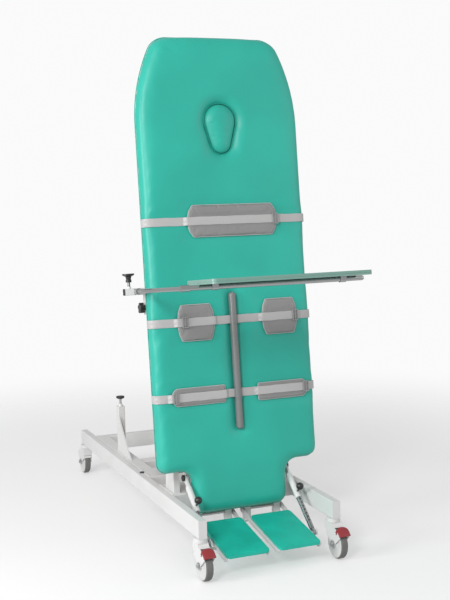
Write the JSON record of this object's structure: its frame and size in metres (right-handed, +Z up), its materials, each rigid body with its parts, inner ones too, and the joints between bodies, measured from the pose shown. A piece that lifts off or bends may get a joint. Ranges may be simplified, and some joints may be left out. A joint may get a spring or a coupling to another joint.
{
  "type": "tilt table",
  "caption": "Upright padded tilt table with straps, face hole, folding footplates on struts, a tray on a lifting arm and a base on braked casters.",
  "frame": {"origin": "centre of the overall bounding box's underside, on the floor", "axes": "+X to the right across the table as seen from its padded face, +Y to the back along the base rails, +Z up"},
  "size_m": [0.8114, 2.1136, 2.1569],
  "materials": {
    "base_paint": "satin grey-white coat",
    "frame_paint": "satin white coat",
    "caster_paint": "satin",
    "zinc_steel": "zinc plated",
    "rail_steel": "brushed",
    "chrome": "bright plated",
    "cushion_cover": "soft synthetic leather over foam",
    "foot_cover": "ribbed mat",
    "pad_cover": "padded grey cover",
    "webbing": "woven webbing",
    "buckle_plastic": "moulded",
    "divider_plastic": "moulded",
    "plywood": "sealed plywood",
    "black_rubber": "matt",
    "box_plastic": "moulded",
    "actuator_dark": "coated tube and motor",
    "knob_plastic": "moulded",
    "tray_laminate": "laminate with a raised rim",
    "pedal_red": "moulded",
    "wheel_plastic": "moulded",
    "tyre": "grey rubber"
  },
  "bodies": {
    "base": {"base_rails": "base_paint", "rear_crossbar": "base_paint", "pivot_platform": "base_paint", "mid_crossbeams": "base_paint", "inner_beams": "base_paint", "pivot_uprights": "base_paint", "rest_posts": "base_paint", "buffer_screws": "zinc_steel", "rubber_stops": "black_rubber", "control_box": "box_plastic", "caster_sockets": "base_paint"},
    "table": {"cushion": "cushion_cover", "board": "plywood", "frame_side_tubes": "frame_paint", "frame_cross_tubes": "frame_paint", "tilt_shaft": "frame_paint", "tilt_lever": "frame_paint", "side_rails": "rail_steel", "strut_brackets": "frame_paint", "foot_hangers": "frame_paint", "hinge_rods": "zinc_steel", "straps": "webbing", "pads": "pad_cover", "strap_hardware": "buckle_plastic", "divider_bar": "divider_plastic"},
    "face_plug": {"face_plug": "cushion_cover"},
    "actuator_tube": {"actuator_body": "actuator_dark"},
    "actuator_rod": {"actuator_rod": "chrome"},
    "tray_carriage": {"tray_clamp": "frame_paint", "tray_bracket": "frame_paint"},
    "clamp_knob": {"clamp_knob": "knob_plastic"},
    "tray_arm": {"arm_tube": "chrome"},
    "arm_knob": {"arm_knob": "knob_plastic"},
    "tray": {"tray_panel": "tray_laminate", "tray_clips": "chrome"},
    "foot_left": {"footplate_left": "foot_cover", "foot_bars_left": "frame_paint"},
    "strut_tube_left": {"strut_sleeve_left": "frame_paint"},
    "strut_rod_left": {"strut_rod_left": "chrome"},
    "plunger_left": {"plunger_left": "knob_plastic"},
    "foot_right": {"footplate_right": "foot_cover", "foot_bars_right": "frame_paint"},
    "strut_tube_right": {"strut_sleeve_right": "frame_paint"},
    "strut_rod_right": {"strut_rod_right": "chrome"},
    "plunger_right": {"plunger_right": "knob_plastic"},
    "fork_fl": {"caster_fork_fl": "caster_paint"},
    "wheel_fl": {"caster_wheel_fl": "wheel_plastic", "caster_tyre_fl": "tyre"},
    "fork_fr": {"caster_fork_fr": "caster_paint"},
    "wheel_fr": {"caster_wheel_fr": "wheel_plastic", "caster_tyre_fr": "tyre"},
    "fork_rl": {"caster_fork_rl": "caster_paint"},
    "wheel_rl": {"caster_wheel_rl": "wheel_plastic", "caster_tyre_rl": "tyre"},
    "fork_rr": {"caster_fork_rr": "caster_paint"},
    "wheel_rr": {"caster_wheel_rr": "wheel_plastic", "caster_tyre_rr": "tyre"},
    "pedal_left": {"brake_pedal_left": "pedal_red"},
    "pedal_right": {"brake_pedal_right": "pedal_red"}
  },
  "joints": [
    {"name": "tilt", "type": "hinge", "parent": "base", "child": "table", "pos_m": [0.0393, -0.33312, 0.465], "axis": [-1, 0, 0], "range_deg": [0, 84.17]},
    {"name": "actuator_swing", "type": "hinge", "parent": "base", "child": "actuator_tube", "pos_m": [0.0393, 0.22027, 0.3], "axis": [-1, 0, 0], "range_deg": [-2.7, 0.1]},
    {"name": "actuator_stroke", "type": "slide", "parent": "actuator_tube", "child": "actuator_rod", "axis": [0, -0.9952, 0.0977], "range_m": [0, 0.2272]},
    {"name": "face_plug_out", "type": "slide", "parent": "table", "child": "face_plug", "axis": [0, -0.9948, 0.1016], "range_m": [0, 0.09]},
    {"name": "tray_height", "type": "slide", "parent": "table", "child": "tray_carriage", "axis": [0, 0.1016, 0.9948], "range_m": [-0.3, 0.4]},
    {"name": "clamp_knob_turn", "type": "hinge", "parent": "tray_carriage", "child": "clamp_knob", "pos_m": [-0.3257, -0.34119, 1.03081], "axis": [-1, 0, 0], "range_deg": [0, 360]},
    {"name": "arm_lift", "type": "hinge", "parent": "tray_carriage", "child": "tray_arm", "pos_m": [-0.3807, -0.33408, 1.10045], "axis": [-1, 0, 0], "range_deg": [-15, 60]},
    {"name": "arm_knob_turn", "type": "hinge", "parent": "tray_carriage", "child": "arm_knob", "pos_m": [-0.3807, -0.33001, 1.14024], "axis": [0, 0.1016, 0.9948], "range_deg": [0, 360]},
    {"name": "tray_tilt", "type": "hinge", "parent": "tray_arm", "child": "tray", "pos_m": [0.0353, -0.91854, 1.16013], "axis": [-1, 0, 0], "range_deg": [-10, 35]},
    {"name": "foot_fold_left", "type": "hinge", "parent": "table", "child": "foot_left", "pos_m": [-0.0737, -0.43438, 0.14268], "axis": [-1, 0, 0], "range_deg": [-8, 25]},
    {"name": "strut_swing_left", "type": "hinge", "parent": "table", "child": "strut_tube_left", "pos_m": [-0.1917, -0.43025, 0.31114], "axis": [-1, 0, 0], "range_deg": [-5.8, 17.9]},
    {"name": "strut_length_left", "type": "slide", "parent": "strut_tube_left", "child": "strut_rod_left", "axis": [0, -0.775, -0.632], "range_m": [-0.0605, 0.0195]},
    {"name": "plunger_pull_left", "type": "slide", "parent": "strut_tube_left", "child": "plunger_left", "axis": [0, -0.632, 0.775], "range_m": [0, 0.008], "stiffness_N_per_m": 800, "springref_m": -0.004},
    {"name": "foot_fold_right", "type": "hinge", "parent": "table", "child": "foot_right", "pos_m": [0.1523, -0.43438, 0.14268], "axis": [-1, 0, 0], "range_deg": [-8, 25]},
    {"name": "strut_swing_right", "type": "hinge", "parent": "table", "child": "strut_tube_right", "pos_m": [0.2703, -0.43025, 0.31114], "axis": [-1, 0, 0], "range_deg": [-5.8, 17.9]},
    {"name": "strut_length_right", "type": "slide", "parent": "strut_tube_right", "child": "strut_rod_right", "axis": [0, -0.775, -0.632], "range_m": [-0.0605, 0.0195]},
    {"name": "plunger_pull_right", "type": "slide", "parent": "strut_tube_right", "child": "plunger_right", "axis": [0, -0.632, 0.775], "range_m": [0, 0.008], "stiffness_N_per_m": 800, "springref_m": -0.004},
    {"name": "caster_swivel_fl", "type": "hinge", "parent": "base", "child": "fork_fl", "pos_m": [-0.2542, -0.75973, 0.15], "axis": [0, 0, 1], "range_deg": [-180, 25]},
    {"name": "caster_roll_fl", "type": "hinge", "parent": "fork_fl", "child": "wheel_fl", "pos_m": [-0.2542, -0.79773, 0.0625], "axis": [1, 0, 0], "continuous": true},
    {"name": "caster_swivel_fr", "type": "hinge", "parent": "base", "child": "fork_fr", "pos_m": [0.3328, -0.75973, 0.15], "axis": [0, 0, 1], "range_deg": [-25, 180]},
    {"name": "caster_roll_fr", "type": "hinge", "parent": "fork_fr", "child": "wheel_fr", "pos_m": [0.3328, -0.79773, 0.0625], "axis": [1, 0, 0], "continuous": true},
    {"name": "caster_swivel_rl", "type": "hinge", "parent": "base", "child": "fork_rl", "pos_m": [-0.2542, 0.95627, 0.15], "axis": [0, 0, 1], "continuous": true},
    {"name": "caster_roll_rl", "type": "hinge", "parent": "fork_rl", "child": "wheel_rl", "pos_m": [-0.2542, 0.99427, 0.0625], "axis": [1, 0, 0], "continuous": true},
    {"name": "caster_swivel_rr", "type": "hinge", "parent": "base", "child": "fork_rr", "pos_m": [0.3328, 0.95627, 0.15], "axis": [0, 0, 1], "continuous": true},
    {"name": "caster_roll_rr", "type": "hinge", "parent": "fork_rr", "child": "wheel_rr", "pos_m": [0.3328, 0.99427, 0.0625], "axis": [1, 0, 0], "continuous": true},
    {"name": "brake_left", "type": "hinge", "parent": "fork_fl", "child": "pedal_left", "pos_m": [-0.2542, -0.82773, 0.11446], "axis": [1, 0, 0], "range_deg": [0, 10]},
    {"name": "brake_right", "type": "hinge", "parent": "fork_fr", "child": "pedal_right", "pos_m": [0.3328, -0.82773, 0.11446], "axis": [1, 0, 0], "range_deg": [0, 10]}
  ],
  "couplings": [
    {"joint": "actuator_swing", "follows": "tilt", "ratio": -0.030582},
    {"joint": "actuator_stroke", "follows": "tilt", "m_per_rad": 0.15424},
    {"joint": "strut_swing_left", "follows": "foot_fold_left", "ratio": 0.71236},
    {"joint": "strut_length_left", "follows": "foot_fold_left", "m_per_rad": -0.13825},
    {"joint": "strut_swing_right", "follows": "foot_fold_right", "ratio": 0.71236},
    {"joint": "strut_length_right", "follows": "foot_fold_right", "m_per_rad": -0.13825}
  ]
}
